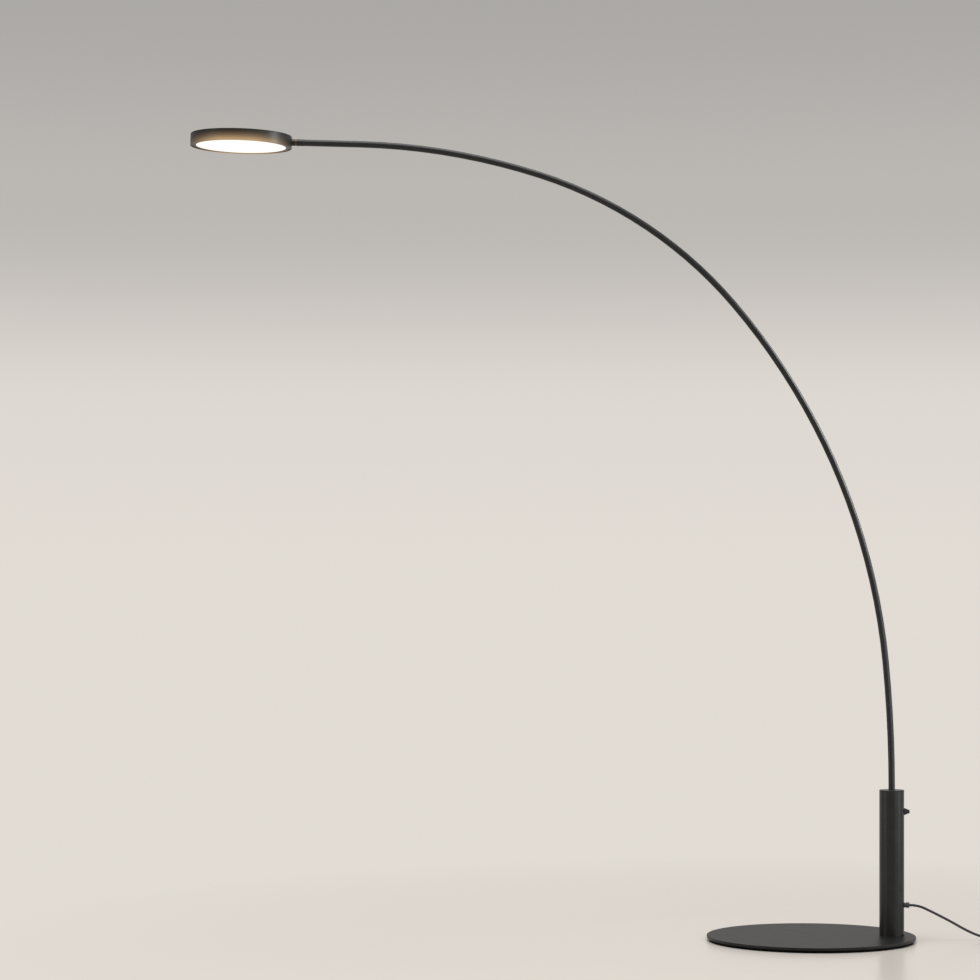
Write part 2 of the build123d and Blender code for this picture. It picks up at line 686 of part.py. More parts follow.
def gland_cap():
    low = COLUMN_DIAMETER / 2 + GLAND_FLANGE
    cap = rod(GLAND_DIAMETER, low, GLAND_END)
    cap = chamfer(cap.edges().group_by(Axis.Z)[-1], GLAND_EDGE)
    cap -= rod(SEAL_DIAMETER + 2 * SEAT, low, low + SEAL_LENGTH)
    return on_side(cap - rod(CORD_DIAMETER + 2 * SLIDING, low, GLAND_END), GLAND_HEIGHT)


def gland_seal():
    low = COLUMN_DIAMETER / 2 + GLAND_FLANGE
    return on_side(ring(SEAL_DIAMETER, CORD_DIAMETER + 2 * SEAT, low, low + SEAL_LENGTH), GLAND_HEIGHT)


# Driver and leads in the column
def bracket_screw_offset():
    return BRACKET_FACE - BRACKET_THICKNESS - BRACKET_FLANGE / 2


def driver_screw_places():
    """The driver's two screws, with Z pointing from the bracket into the driver."""
    heights = (DRIVER_BOTTOM + DRIVER_SCREW_EDGE, DRIVER_TOP - DRIVER_SCREW_EDGE)
    return [Pos(BRACKET_FACE, 0, height) * Rot(0, 90, 0) for height in heights]


def driver_bracket():
    strip = Pos(BRACKET_FACE - BRACKET_THICKNESS / 2, 0, FOOT_TOP) * Box(
        BRACKET_THICKNESS, BRACKET_WIDTH, DRIVER_TOP - FOOT_TOP, align=FLOOR_ALIGN)
    flange = Pos(bracket_screw_offset(), 0, FOOT_TOP) * Box(
        BRACKET_FLANGE, BRACKET_WIDTH, BRACKET_THICKNESS, align=FLOOR_ALIGN)
    bracket = strip + flange
    bracket -= Pos(bracket_screw_offset(), 0, FOOT_TOP) * rod(
        BRACKET_SCREW_DIAMETER + 2 * SEAT, 0, BRACKET_THICKNESS)
    for place in driver_screw_places():
        bracket -= place * rod(DRIVER_SCREW_DIAMETER + 2 * SEAT, -BRACKET_THICKNESS, 0)
    return on_column(bracket)


def pan_screw(diameter, grip, length):
    """A pan-head screw whose head sits grip below zero and whose shank reaches up to length."""
    head = rod(PAN_HEAD_SHARE * diameter, -grip - PAN_HEAD_RISE_SHARE * diameter, -grip)
    return head + rod(diameter, -grip, length)


def bracket_screw():
    screw = pan_screw(BRACKET_SCREW_DIAMETER, BRACKET_THICKNESS, BRACKET_SCREW_LENGTH - BRACKET_THICKNESS)
    return on_column(Pos(bracket_screw_offset(), 0, FOOT_TOP) * Rot(180, 0, 0) * screw)


def driver_screws():
    screw = pan_screw(DRIVER_SCREW_DIAMETER, BRACKET_THICKNESS, DRIVER_SCREW_LENGTH)
    return [on_column(place * screw) for place in driver_screw_places()]


def driver_case():
    case = Pos(BRACKET_FACE + DRIVER_DEPTH / 2, 0, DRIVER_BOTTOM) * Box(
        DRIVER_DEPTH, DRIVER_WIDTH, DRIVER_LENGTH, align=FLOOR_ALIGN)
    case = fillet(case.edges().filter_by(Axis.Z), DRIVER_EDGE)
    for place in driver_screw_places():
        case -= place * rod(DRIVER_SCREW_DIAMETER + 2 * SEAT, 0, DRIVER_SCREW_LENGTH + AXIAL)
    return on_column(case)


def held_lead(route, diameter, bends=None):
    """A lead inside the column, in the XZ plane, with rounded corners."""
    points = [(COLUMN_X + x, 0, z) for x, z in route]
    return tube_along(FilletPolyline(*points, radius=bends or cord_radii(points)), diameter)


def mains_tail():
    """The cord's held end, from the gland's outer face up to the driver."""
    route = ((GLAND_END, GLAND_HEIGHT), (0, GLAND_HEIGHT), (0, DRIVER_BOTTOM))
    return held_lead(route, CORD_DIAMETER, MAINS_BEND)


def switch_lead():
    out = switch_front() - SWITCH_BODY_DEPTH / 2
    bottom = SWITCH_HEIGHT - SWITCH_BODY_HEIGHT / 2
    bend = (CABLE_BOTTOM + DRIVER_TOP) / 2
    entry = SWITCH_LEAD_OFFSET
    route = ((out, bottom), (out, CABLE_BOTTOM), (entry, bend), (entry, DRIVER_TOP))
    return held_lead(route, LEAD_DIAMETER)


def output_lead():
    return on_column(rod(CABLE_DIAMETER, DRIVER_TOP, CABLE_BOTTOM - AXIAL))


# Power cord
def cord_radii(points):
    """The largest arc that each corner's two runs leave room for."""
    radii = []
    for before, corner, after in zip(points, points[1:], points[2:]):
        first = Vector(corner) - Vector(before)
        second = Vector(after) - Vector(corner)
        shorter = min(first.length, second.length)
        radii.append(CORD_ARC_SHARE * shorter / tan(radians(first.get_angle(second) / 2)))
    return radii


def cord_stretch(points, name):
    radii = cord_radii(points)
    path = FilletPolyline(*points, radius=radii)
    tube = tube_along(path, CORD_DIAMETER)
    section = pi / 4 * CORD_DIAMETER ** 2
    print(name, "radii", [round(radius) for radius in radii], "length", round(path.length, 1),
          "volume over section times length", round(tube.volume / (section * path.length), 5))
    return tube


def cord_points():
    """The free stretch's points, from the gland's mouth to the coil."""
    mouth = COLUMN_X + GLAND_END
    points = [(mouth, 0, GLAND_HEIGHT), (mouth + CORD_EXIT_RUN, 0, GLAND_HEIGHT)]
    points += [(mouth + out, along, height) for out, along, height in CORD_ROUTE]
    return points + [(mouth + out, along, COIL_HEIGHT) for out, along in CORD_ON_FLOOR]


def power_cord():
    return cord_stretch(cord_points(), "power cord")


def coil_start():
    """Where the coil's first turn begins: one cord diameter past the free stretch."""
    return Vector(*cord_points()[-1]) + Vector(CORD_DIAMETER, 0, 0)


def coil_centre():
    outer = COIL_INNER_RADIUS + COIL_STEP * QUARTERS_IN / 4
    return coil_start() + Vector(0, outer, 0)


def coil_stop(quarter):
    """A quarter-turn stop of the coil: its point and its direction of travel."""
    climbed = quarter - QUARTERS_IN
    opened = climbed - QUARTERS_CLIMB
    radius, rise, widen, lift = COIL_INNER_RADIUS, 0.0, 0.0, 0.0
    if climbed < 0:
        radius -= climbed * COIL_STEP / 4
        widen = -COIL_STEP / (2 * pi) if quarter > 0 else 0.0
    elif opened < 0:
        rise = COIL_STEP * climbed / QUARTERS_CLIMB
        lift = COIL_STEP / pi if climbed > 0 else 0.0
    else:
        radius += opened * COIL_STEP / 4
        rise = COIL_STEP
        widen = COIL_STEP / (2 * pi) if 0 < opened and quarter < QUARTERS else 0.0
    angle = (quarter - 1) * pi / 2
    out = Vector(cos(angle), sin(angle), 0)
    along = Vector(-sin(angle), cos(angle), 0)
    point = coil_centre() + out * radius + Vector(0, 0, rise)
    heading = along * radius + out * widen + Vector(0, 0, lift)
    return point, heading.normalized()


def biarc(start, leaving, end, arriving):
    """Two tangent arcs from one point and direction to another."""
    chord = end - start
    total = leaving + arriving
    bend = 2 * (1 - leaving.dot(arriving))
    reach = (sqrt(chord.dot(total) ** 2 + bend * chord.dot(chord)) - chord.dot(total)) / bend
    middle = (start + end + (leaving - arriving) * reach) * 0.5
    first = TangentArc(start, middle, tangent=leaving)
    return [first, TangentArc(middle, end, tangent=first % 1)]


def coil_edges():
    stops = [coil_stop(quarter) for quarter in range(QUARTERS + 1)]
    first, heading = stops[0]
    edges = [Line(first - heading * CORD_DIAMETER, first)]
    for (start, leaving), (end, arriving) in zip(stops, stops[1:]):
        edges += biarc(start, leaving, end, arriving)
    last, heading = stops[-1]
    return edges + [Line(last, last + heading * CORD_DIAMETER)]


def least_self_gap(edges, samples=12, apart=6 * CORD_DIAMETER):
    """The coiled cord's least gap to itself, on points that lie far enough apart along it."""
    points, places, travelled = [], [], 0.0
    for edge in edges:
        for step in range(samples):
            points.append(tuple(edge @ (step / samples)))
            places.append(travelled + edge.length * step / samples)
        travelled += edge.length
    least = min(dist(points[i], points[j]) for i in range(len(points)) for j in range(i)
                if places[i] - places[j] > apart)
    return least - CORD_DIAMETER


def cord_coil():
    edges = coil_edges()
    path = Wire(edges)
    coil = tube_along(path, CORD_DIAMETER)
    section = pi / 4 * CORD_DIAMETER ** 2
    print("coil length", round(path.length, 1), "least self gap", round(least_self_gap(edges), 2),
          "volume over section times length", round(coil.volume / (section * path.length), 5))
    return coil


def coil_exit():
    """The coil's last point, where the tail to the plug begins, and the way it points."""
    point, heading = coil_stop(QUARTERS)
    return point + heading * CORD_DIAMETER, heading


def tail_points():
    """The tail's points: level off the coil, down to the plug's middle, and level into it."""
    point, heading = coil_exit()
    level, down, entry = TAIL_RUNS
    edge = point + heading * level
    landed = edge + heading * down
    landed.Z = PLUG_THICKNESS / 2
    return [point, edge, landed, landed + heading * entry]


def cord_tail():
    return cord_stretch([tuple(point) for point in tail_points()], "cord tail")


def cord_tie():
    """A flat band round the coil's turns on its -X side."""
    outermost = COIL_INNER_RADIUS + COIL_STEP * ((QUARTERS_OUT - 2) // 4)
    room = CORD_DIAMETER + 2 * TIE_CLEARANCE
    length = outermost - COIL_INNER_RADIUS + room
    height = COIL_STEP + CORD_DIAMETER + 2 * CLEAR
    middle = coil_centre() - Vector((outermost + COIL_INNER_RADIUS) / 2, 0, 0)
    band = Box(length + 2 * TIE_THICKNESS, TIE_WIDTH, height + 2 * TIE_THICKNESS)
    band = fillet(band.edges().filter_by(Axis.Y), TIE_THICKNESS)
    return Pos(middle.X, middle.Y, COIL_HEIGHT + COIL_STEP / 2) * (band - Box(length, TIE_WIDTH, height))


def plug_place():
    """The plug's cord end, with Z pointing towards the pins and Y up."""
    heading = coil_exit()[1]
    return Plane(tail_points()[-1], x_dir=heading.cross(Vector(0, 0, 1)) * -1, z_dir=heading).location


def plug_face():
    return PLUG_RELIEF_LENGTH + PLUG_TAPER_LENGTH + PLUG_LENGTH


def plug_pin(extra):
    return rod(PIN_DIAMETER + 2 * extra, plug_face() - PIN_DEPTH - extra, plug_face() + PIN_LENGTH)


def pin_places():
    return [Pos(side * PIN_SPACING / 2, 0, 0) for side in (-1, 1)]


def plug_body():
    shoulder = PLUG_RELIEF_LENGTH + PLUG_TAPER_LENGTH
    wide = RectangleRounded(PLUG_WIDTH, PLUG_THICKNESS, PLUG_EDGE)
    narrow = RectangleRounded(PLUG_NECK_WIDTH, PLUG_NECK_THICKNESS, PLUG_EDGE)
    body = Pos(0, 0, shoulder) * extrude(wide, PLUG_LENGTH)
    body += loft([Pos(0, 0, PLUG_RELIEF_LENGTH) * narrow, Pos(0, 0, shoulder) * wide])
    body += rod(PLUG_RELIEF_DIAMETER, 0, PLUG_RELIEF_LENGTH)
    for place in pin_places():
        body -= place * plug_pin(SEAT)
    return plug_place() * body


def plug_pins():
    pin = plug_pin(0)
    pin = fillet(pin.edges().group_by(Axis.Z)[-1], PIN_END_ROUND)
    return [plug_place() * place * pin for place in pin_places()]


NODES = {
    "base_plate": base_plate,
    "base_pad": base_pad,
    "base_bolts": base_bolts,
    "column_tube": column_tube,
    "column_foot": column_foot,
    "column_cap": column_cap,
    "cap_grub_screws": cap_grub_screws,
    "arc_socket": arc_socket,
    "upper_bush": lambda: bush(COLUMN_TOP - BUSH_LENGTH),
    "lower_bush": lambda: bush(WASHER_TOP),
    "thrust_washer": thrust_washer,
    "brake_pad": brake_pad,
    "brake_screw": brake_screw,
    "driver_bracket": driver_bracket,
    "bracket_screw": bracket_screw,
    "driver_case": driver_case,
    "driver_screws": driver_screws,
    "mains_tail": mains_tail,
    "switch_lead": switch_lead,
    "output_lead": output_lead,
    "switch_body": switch_body,
    "switch_locknut": lambda: wall_nut(SWITCH_BARREL, SWITCH_HEIGHT),
    "switch_bezel": switch_bezel,
    "switch_button": switch_button,
    "gland_body": gland_body,
    "gland_locknut": lambda: wall_nut(GLAND_BARREL, GLAND_HEIGHT),
    "gland_cap": gland_cap,
    "gland_seal": gland_seal,
    "power_cord": power_cord,
    "cord_coil": cord_coil,
    "cord_tail": cord_tail,
    "cord_tie": cord_tie,
    "plug_body": plug_body,
    "plug_pins": plug_pins,
    "arc_tube": arc_tube,
    "stop_pin": stop_pin,
    "stem_grommet": stem_grommet,
    "arc_cable": arc_cable,
    "tube_plug": tube_plug,
    "swivel_collar": swivel_collar,
    "swivel_pin": swivel_pin,
    "pin_nut": pin_nut,
    "spring_washer": spring_washer,
    "head_stub": head_stub,
    "stub_nut": stub_nut,
    "head_housing": head_housing,
    "head_bezel": head_bezel,
    "diffuser": diffuser,
    "heat_spreader": heat_spreader,
    "led_board": led_board,
    "led_chips": led_chips,
    "board_screws": board_screws,
    "head_terminal": head_terminal,
    "head_lead": head_lead,
}

os.makedirs("parts", exist_ok=True)
for name, make in NODES.items():
    made = make()
    pieces = made if isinstance(made, list) else [made]
    solids = [piece.solid() for piece in pieces]
    export_step(solids[0] if len(solids) == 1 else Compound(solids), f"parts/{name}.step")
print("tip", [round(value, 2) for value in TIP_POINT],
      "direction", [round(value, 5) for value in TIP_DIRECTION])
print("coil centre", [round(value, 2) for value in coil_centre()],
      "tail", [[round(value, 2) for value in point] for point in tail_points()])
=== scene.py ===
# %% [markdown]
# # Arc floor lamp
# A heavy round plate carries a short column near its rim. A slim tube leaves the column's top,
# bends over in one long arc and ends in a flat round light. All the outer metal is powder coated
# in black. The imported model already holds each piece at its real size, so this lesson adds what a
# model of sizes lacks: the cord as a smooth line, a soft moulded plug, a tie, and a finish for
# every surface.

import json
from math import cos, pi, radians, sin, tau

import bmesh
import bpy
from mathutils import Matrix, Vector


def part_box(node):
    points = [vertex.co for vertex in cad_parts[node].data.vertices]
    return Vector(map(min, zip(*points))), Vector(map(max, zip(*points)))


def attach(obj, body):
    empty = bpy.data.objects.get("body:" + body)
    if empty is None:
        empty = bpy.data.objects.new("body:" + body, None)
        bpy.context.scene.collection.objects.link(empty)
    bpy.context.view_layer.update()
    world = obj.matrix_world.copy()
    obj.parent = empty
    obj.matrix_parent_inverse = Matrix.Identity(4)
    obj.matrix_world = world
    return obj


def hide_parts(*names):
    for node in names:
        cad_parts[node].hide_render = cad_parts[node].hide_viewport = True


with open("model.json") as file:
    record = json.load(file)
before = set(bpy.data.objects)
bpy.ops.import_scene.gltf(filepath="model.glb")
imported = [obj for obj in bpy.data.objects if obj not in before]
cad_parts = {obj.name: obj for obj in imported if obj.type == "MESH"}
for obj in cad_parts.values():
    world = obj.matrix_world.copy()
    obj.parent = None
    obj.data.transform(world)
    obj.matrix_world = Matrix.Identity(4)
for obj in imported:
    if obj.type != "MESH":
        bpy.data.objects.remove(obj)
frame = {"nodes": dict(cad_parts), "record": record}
NODES = frame["nodes"]
SLOT_OF = {part["node"]: part["material_slot"] for part in frame["record"]["subparts"]}
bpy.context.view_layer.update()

# %% [markdown]
# ## Camera
# The photograph was taken from far away with a long lens: the column's sides stay parallel, so
# the camera is level, and the round plate and the round head are both thin ellipses, one seen
# from above and one from below. Their two shapes fix how high the eye is. The frame is then
# slid upwards with the lens shift, as an architect's camera does, because tilting the camera
# would make the column lean.

# %% Camera
PHOTO_PIXELS = 980
SENSOR_WIDTH = 36.0
FOCAL_PIXELS = 3003.0
HORIZON_PIXEL = 573.3
EYE = Vector((-0.7397, -6.92, 0.846))


def add_object(name, data):
    made = bpy.data.objects.new(name, data)
    bpy.context.scene.collection.objects.link(made)
    return made


def photo_camera():
    data = bpy.data.cameras.new("photo_camera")
    data.sensor_width = SENSOR_WIDTH
    data.lens = SENSOR_WIDTH * FOCAL_PIXELS / PHOTO_PIXELS
    data.shift_y = (HORIZON_PIXEL - PHOTO_PIXELS / 2) / PHOTO_PIXELS
    camera = add_object("photo_camera", data)
    camera.location = EYE
    camera.rotation_euler = (pi / 2, 0, 0)
    bpy.context.scene.camera = camera
    return camera


CAMERA = photo_camera()
print("lens", round(CAMERA.data.lens, 1), "shift", round(CAMERA.data.shift_y, 3))

# %% [markdown]
# ## Mains cord
# The cord leaves the gland level, droops to the floor under its own weight and runs out of the
# picture. Its spare length is wound into a tied coil just outside the view. One open NURBS spline
# is the right tool: its control points are the same few points as the cord's solid, and the
# curve between them stays smooth. The coil's turns are more points of the same spline, worked out
# by a loop that spirals in, climbs one layer in half a turn, and spirals out again.

# %% Cord route, in metres
CORD_DIAMETER = 0.0058
CORD_ROUTE = (
    (0.2265, 0.0, 0.0815),
    (0.2465, 0.0, 0.0815),
    (0.2815, 0.0006, 0.0645),
    (0.3225, 0.0020, 0.0435),
    (0.3615, 0.0040, 0.0210),
    (0.3975, 0.0056, 0.0062),
    (0.4315, 0.0060, 0.0040),
    (0.4597, 0.0060, 0.0040),
)
CORD_TAIL = (
    (0.5137, 0.0582, 0.0112),
    (0.5137, 0.0762, 0.0112),
    (0.5137, 0.0962, 0.0070),
    (0.5137, 0.1142, 0.0070),
)
COIL_CENTRE = Vector((0.4655, 0.0524, 0.0040))
COIL_INNER_RADIUS = 0.0230
COIL_STEP = 0.0072
COIL_TURNS_IN, COIL_TURNS_CLIMB, COIL_TURNS_OUT = 3.25, 0.5, 3.5
COIL_POINTS_PER_TURN = 24


def coil_point(turn):
    """A point of the coil after this many turns, counted from its nearest side."""
    still_in = max(COIL_TURNS_IN - turn, 0)
    opened = max(turn - COIL_TURNS_IN - COIL_TURNS_CLIMB, 0)
    climbed = min(max(turn - COIL_TURNS_IN, 0) / COIL_TURNS_CLIMB, 1)
    radius = COIL_INNER_RADIUS + COIL_STEP * (still_in + opened)
    angle = tau * (turn - 0.25)
    return COIL_CENTRE + Vector((radius * cos(angle), radius * sin(angle), COIL_STEP * climbed))


def coil_points():
    turns = COIL_TURNS_IN + COIL_TURNS_CLIMB + COIL_TURNS_OUT
    count = round(turns * COIL_POINTS_PER_TURN)
    return [coil_point(turns * step / count) for step in range(count + 1)]


# %% Cord
def cord_curve(name, points, diameter):
    """A round cord along one open NURBS spline with these control points."""
    curve = bpy.data.curves.new(name, "CURVE")
    curve.dimensions = "3D"
    curve.bevel_depth = 1.0
    curve.bevel_resolution = 6
    curve.resolution_u = 6
    curve.use_fill_caps = True
    spline = curve.splines.new("NURBS")
    spline.points.add(len(points) - 1)
    for control, point in zip(spline.points, points):
        control.co = (*point, 1.0)
        control.radius = diameter / 2
    spline.order_u = 3
    spline.use_endpoint_u = True
    return add_object(name, curve)


cord = cord_curve("mains_cord", [*CORD_ROUTE, *coil_points(), *CORD_TAIL], CORD_DIAMETER)
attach(cord, "base")
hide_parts("power_cord", "cord_coil", "cord_tail")
print("cord points", len(cord.data.splines[0].points))

# %% [markdown]
# ## Meshes from rings
# Most moulded and turned pieces are a row of closed rings, skinned from one to the next: a pin is
# rings of one radius after another, and a plug is rings that change from round to oblong. One
# helper that skins a list of rings makes them all, and it leaves clean strips of four-sided faces
# that shade smoothly.

# %% Skin rings into a mesh
SMOOTH_ANGLE = 0.6
ROUND = 2


def mesh_object(name, bm):
    bmesh.ops.recalc_face_normals(bm, faces=bm.faces)
    mesh = bpy.data.meshes.new(name)
    bm.to_mesh(mesh)
    bm.free()
    mesh.shade_smooth()
    mesh.set_sharp_from_angle(angle=SMOOTH_ANGLE)
    return add_object(name, mesh)


def skin_rings(bm, rings, material_index=0):
    """Joins rings of equally many points, and closes the first and the last."""
    rows = [[bm.verts.new(point) for point in ring] for ring in rings]
    faces = [bm.faces.new(rows[0][::-1]), bm.faces.new(rows[-1])]
    for row, above in zip(rows, rows[1:]):
        for index in range(len(row)):
            after = (index + 1) % len(row)
            faces.append(bm.faces.new((row[index], row[after], above[after], above[index])))
    for face in faces:
        face.material_index = material_index


def rounded_ring(centre, across, up, half_width, half_height, squareness, count):
    """A ring that is a circle when squareness is ROUND, and more oblong at higher values."""
    ring = []
    for step in range(count):
        angle = tau * step / count
        reach = (abs(cos(angle)) ** squareness + abs(sin(angle)) ** squareness) ** (-1 / squareness)
        sideways = across * (half_width * reach * cos(angle))
        upwards = up * (half_height * reach * sin(angle))
        ring.append(centre + sideways + upwards)
    return ring


# %% [markdown]
# ## Plug
# The cord ends in a slim moulded two-pin plug. A real one is soft PVC cast round the cord: a ribbed
# sleeve that keeps the cord from kinking, shoulders that swell to the body, a shallow dip on each
# side for finger and thumb, and a rounded front edge. A box under a subdivision surface could be
# pushed into that shape, but rings along the plug's length hold each section to its own width and
# height, and the list needs only the sections where the shape changes.

# %% Plug body
PLUG_START = Vector(CORD_TAIL[-1])
PLUG_ALONG, PLUG_ACROSS, PLUG_UP = Vector((0, 1, 0)), Vector((1, 0, 0)), Vector((0, 0, 1))
PLUG_RING_POINTS = 48
RELIEF_LENGTH = 0.010
RELIEF_RIBS = 4
GROOVE_RADIUS, RIB_RADIUS = 0.0036, 0.0045
# Share of one rib's length, radius
RELIEF_PROFILE = ((0.0, GROOVE_RADIUS), (0.30, GROOVE_RADIUS), (0.45, RIB_RADIUS), (0.90, RIB_RADIUS))
PLUG_SHOULDER, PLUG_FACE = 0.024, 0.038
# Distance along the plug, half width, half height, squareness
PLUG_SECTIONS = (
    (0.0105, 0.0052, 0.0047, 2.2),
    (0.0125, 0.0066, 0.0051, 2.6),
    (0.0165, 0.0100, 0.0056, 3.2),
    (0.0205, 0.0142, 0.0063, 4.0),
    (PLUG_SHOULDER, 0.0167, 0.0069, 4.6),
    (0.0265, 0.0169, 0.0068, 4.8),
    (0.0305, 0.0160, 0.0066, 4.8),
    (0.0345, 0.0167, 0.0068, 4.8),
    (0.0368, 0.0170, 0.0070, 4.8),
    (0.0376, 0.0167, 0.0067, 4.8),
    (PLUG_FACE, 0.0160, 0.0060, 4.8),
)


def plug_ring(along, half_width, half_height, squareness):
    centre = PLUG_START + PLUG_ALONG * along
    size = (half_width, half_height, squareness)
    return rounded_ring(centre, PLUG_ACROSS, PLUG_UP, *size, PLUG_RING_POINTS)


def relief_rings():
    """The sleeve's ribs: a groove, a slope and a rib, again and again."""
    rings = []
    for step in range(RELIEF_RIBS):
        for share, radius in RELIEF_PROFILE:
            along = RELIEF_LENGTH * (step + share) / RELIEF_RIBS
            rings.append(plug_ring(along, radius, radius, ROUND))
    return rings


def moulded_plug():
    bm = bmesh.new()
    skin_rings(bm, relief_rings() + [plug_ring(*section) for section in PLUG_SECTIONS])
    return mesh_object("moulded_plug", bm)


plug = moulded_plug()
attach(plug, "base")
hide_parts("plug_body")

# %% Plug pins
PIN_RADIUS, SLEEVE_RADIUS = 0.0020, 0.0019
PIN_SPACING = 0.0186
PIN_LENGTH, SLEEVE_LENGTH, PIN_SUNK = 0.019, 0.010, 0.004
PIN_END_ROUND = 0.0010
PIN_END_STEPS = 6
PIN_RING_POINTS = 32
BRIGHT_FACES, SLEEVE_FACES = 0, 1


def pin_ring(side, along, radius):
    centre = PLUG_START + PLUG_ALONG * (PLUG_FACE + along) + PLUG_ACROSS * (side * PIN_SPACING / 2)
    return rounded_ring(centre, PLUG_ACROSS, PLUG_UP, radius, radius, ROUND, PIN_RING_POINTS)


def round_end(side):
    """The pin's bright end, rounded over a quarter circle at its tip."""
    rings = [pin_ring(side, SLEEVE_LENGTH, PIN_RADIUS)]
    for step in range(PIN_END_STEPS + 1):
        angle = pi / 2 * step / PIN_END_STEPS
        radius = PIN_RADIUS - PIN_END_ROUND * (1 - cos(angle))
        rings.append(pin_ring(side, PIN_LENGTH - PIN_END_ROUND * (1 - sin(angle)), radius))
    return rings


def plug_pins():
    bm = bmesh.new()
    for side in (-1, 1):
        sleeve = [pin_ring(side, along, SLEEVE_RADIUS) for along in (-PIN_SUNK, SLEEVE_LENGTH)]
        skin_rings(bm, sleeve, SLEEVE_FACES)
        skin_rings(bm, round_end(side), BRIGHT_FACES)
    return mesh_object("sleeved_pins", bm)


pins = plug_pins()
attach(pins, "base")
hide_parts("plug_pins")
print("plug faces", len(plug.data.polygons), "pin faces", len(pins.data.polygons))

# %% [markdown]
# ## Tie
# A strip of hook-and-loop tape holds the coil's turns together. It goes once round them and its
# free end lies over its own start, so it is a strip along a path, not a closed ring. The path is a
# rounded oblong round the turns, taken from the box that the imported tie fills.

# %% Coil tie
TIE_THICKNESS = 0.0008
TIE_CORNER = 0.0025
TIE_OVERLAP = 0.011
TIE_CORNER_STEPS = 8
# The free end: distance from the middle of the top, and how many thicknesses it is lifted
TIE_LAP = ((TIE_OVERLAP / 4, 0.2), (-TIE_OVERLAP / 4, 1.05), (-TIE_OVERLAP, 1.05))


def tie_corners(low, high):
    """The oblong's corner centres, from the top left, and the turns their arcs start at."""
    left, right = low.x + TIE_CORNER, high.x - TIE_CORNER
    bottom, top = low.z + TIE_CORNER, high.z - TIE_CORNER
    return ((left, top, 0.25), (left, bottom, 0.50), (right, bottom, 0.75), (right, top, 1.0))


def tie_path(low, high):
    """Points and outward directions: from the middle of the top, round, and over the start."""
    middle = (low.x + high.x) / 2
    up = Vector((0, 0, 1))
    path = [(Vector((middle, 0, high.z)), up)]
    for x, z, start in tie_corners(low, high):
        for step in range(TIE_CORNER_STEPS + 1):
            angle = tau * (start + 0.25 * step / TIE_CORNER_STEPS)
            out = Vector((cos(angle), 0, sin(angle)))
            path.append((Vector((x, 0, z)) + out * TIE_CORNER, out))
    for along, lift in TIE_LAP:
        path.append((Vector((middle + along, 0, high.z)) + up * (TIE_THICKNESS * lift), up))
    return path


def coil_tie():
    low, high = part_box("cord_tie")
    near, far = Vector((0, low.y, 0)), Vector((0, high.y, 0))
    bm = bmesh.new()
    rings = []
    for point, out in tie_path(low, high):
        inner = point - out * TIE_THICKNESS
        rings.append([inner + near, point + near, point + far, inner + far])
    skin_rings(bm, rings)
    return mesh_object("coil_tie", bm)


tie = coil_tie()
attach(tie, "base")
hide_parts("cord_tie")
print("tie faces", len(tie.data.polygons))

# %% [markdown]
# ## Finishes
# Each finish is a small node tree on Blender's Principled shader. Most of its patterns are noise,
# fixed to the object, so they stay put when a piece moves and need no picture. A few helpers cover
# most of the work: a noise of a given grain size in metres, a map of that noise to a range of a
# value or between two colours, sums on values, and a dent of a given depth.

# %% Nodes and sums
def new_finish(name):
    material = bpy.data.materials.new(name)
    material.use_nodes = True
    return material, material.node_tree, material.node_tree.nodes["Principled BSDF"]


def set_inputs(node, **values):
    """Sets the named inputs; underscores stand for spaces."""
    for name, value in values.items():
        node.inputs[name.replace("_", " ")].default_value = value


def add_node(tree, kind, **values):
    made = tree.nodes.new(kind)
    set_inputs(made, **values)
    return made


def joined(tree, operation, first, second):
    """One value worked out from two others."""
    made = add_node(tree, "ShaderNodeMath")
    made.operation = operation
    tree.links.new(first, made.inputs[0])
    tree.links.new(second, made.inputs[1])
    return made.outputs["Value"]


def vector_length(tree, vector):
    made = add_node(tree, "ShaderNodeVectorMath")
    made.operation = "LENGTH"
    tree.links.new(vector, made.inputs[0])
    return made.outputs["Value"]


# %% Patterns and dents
def grain(tree, size, detail=2.0, stretch=(1, 1, 1)):
    """Noise with grains about size metres across, stretched along some axes."""
    place = add_node(tree, "ShaderNodeTexCoord")
    spread = add_node(tree, "ShaderNodeMapping", Scale=stretch)
    noise = add_node(tree, "ShaderNodeTexNoise", Scale=1 / size, Detail=detail)
    tree.links.new(place.outputs["Object"], spread.inputs["Vector"])
    tree.links.new(spread.outputs["Vector"], noise.inputs["Vector"])
    return noise.outputs["Fac"]


def value_between(tree, mask, low, high, start=0.3, end=0.7):
    ends = {"From_Min": start, "From_Max": end, "To_Min": low, "To_Max": high}
    spread = add_node(tree, "ShaderNodeMapRange", **ends)
    tree.links.new(mask, spread.inputs["Value"])
    return spread.outputs["Result"]


def colour_ramp(tree, mask, stops):
    """Colours along a mask; each stop is a place from 0 to 1 and a colour."""
    ramp = add_node(tree, "ShaderNodeValToRGB")
    ramp.color_ramp.interpolation = "EASE"
    elements = ramp.color_ramp.elements
    for _ in stops[2:]:
        elements.new(1.0)
    for element, (place, colour) in zip(elements, stops):
        element.position = place
        element.color = (*colour, 1.0)
    tree.links.new(mask, ramp.inputs["Fac"])
    return ramp.outputs["Color"]


def colour_between(tree, mask, first, second, start=0.3, end=0.7):
    return colour_ramp(tree, mask, ((start, first), (end, second)))


def dents(tree, shader, layers):
    """Bumps laid over each other; each layer is a mask and its depth in metres."""
    normal = None
    for mask, depth in layers:
        bump = add_node(tree, "ShaderNodeBump", Distance=depth, Strength=1.0)
        tree.links.new(mask, bump.inputs["Height"])
        if normal is not None:
            tree.links.new(normal, bump.inputs["Normal"])
        normal = bump.outputs["Normal"]
    tree.links.new(normal, shader.inputs["Normal"])


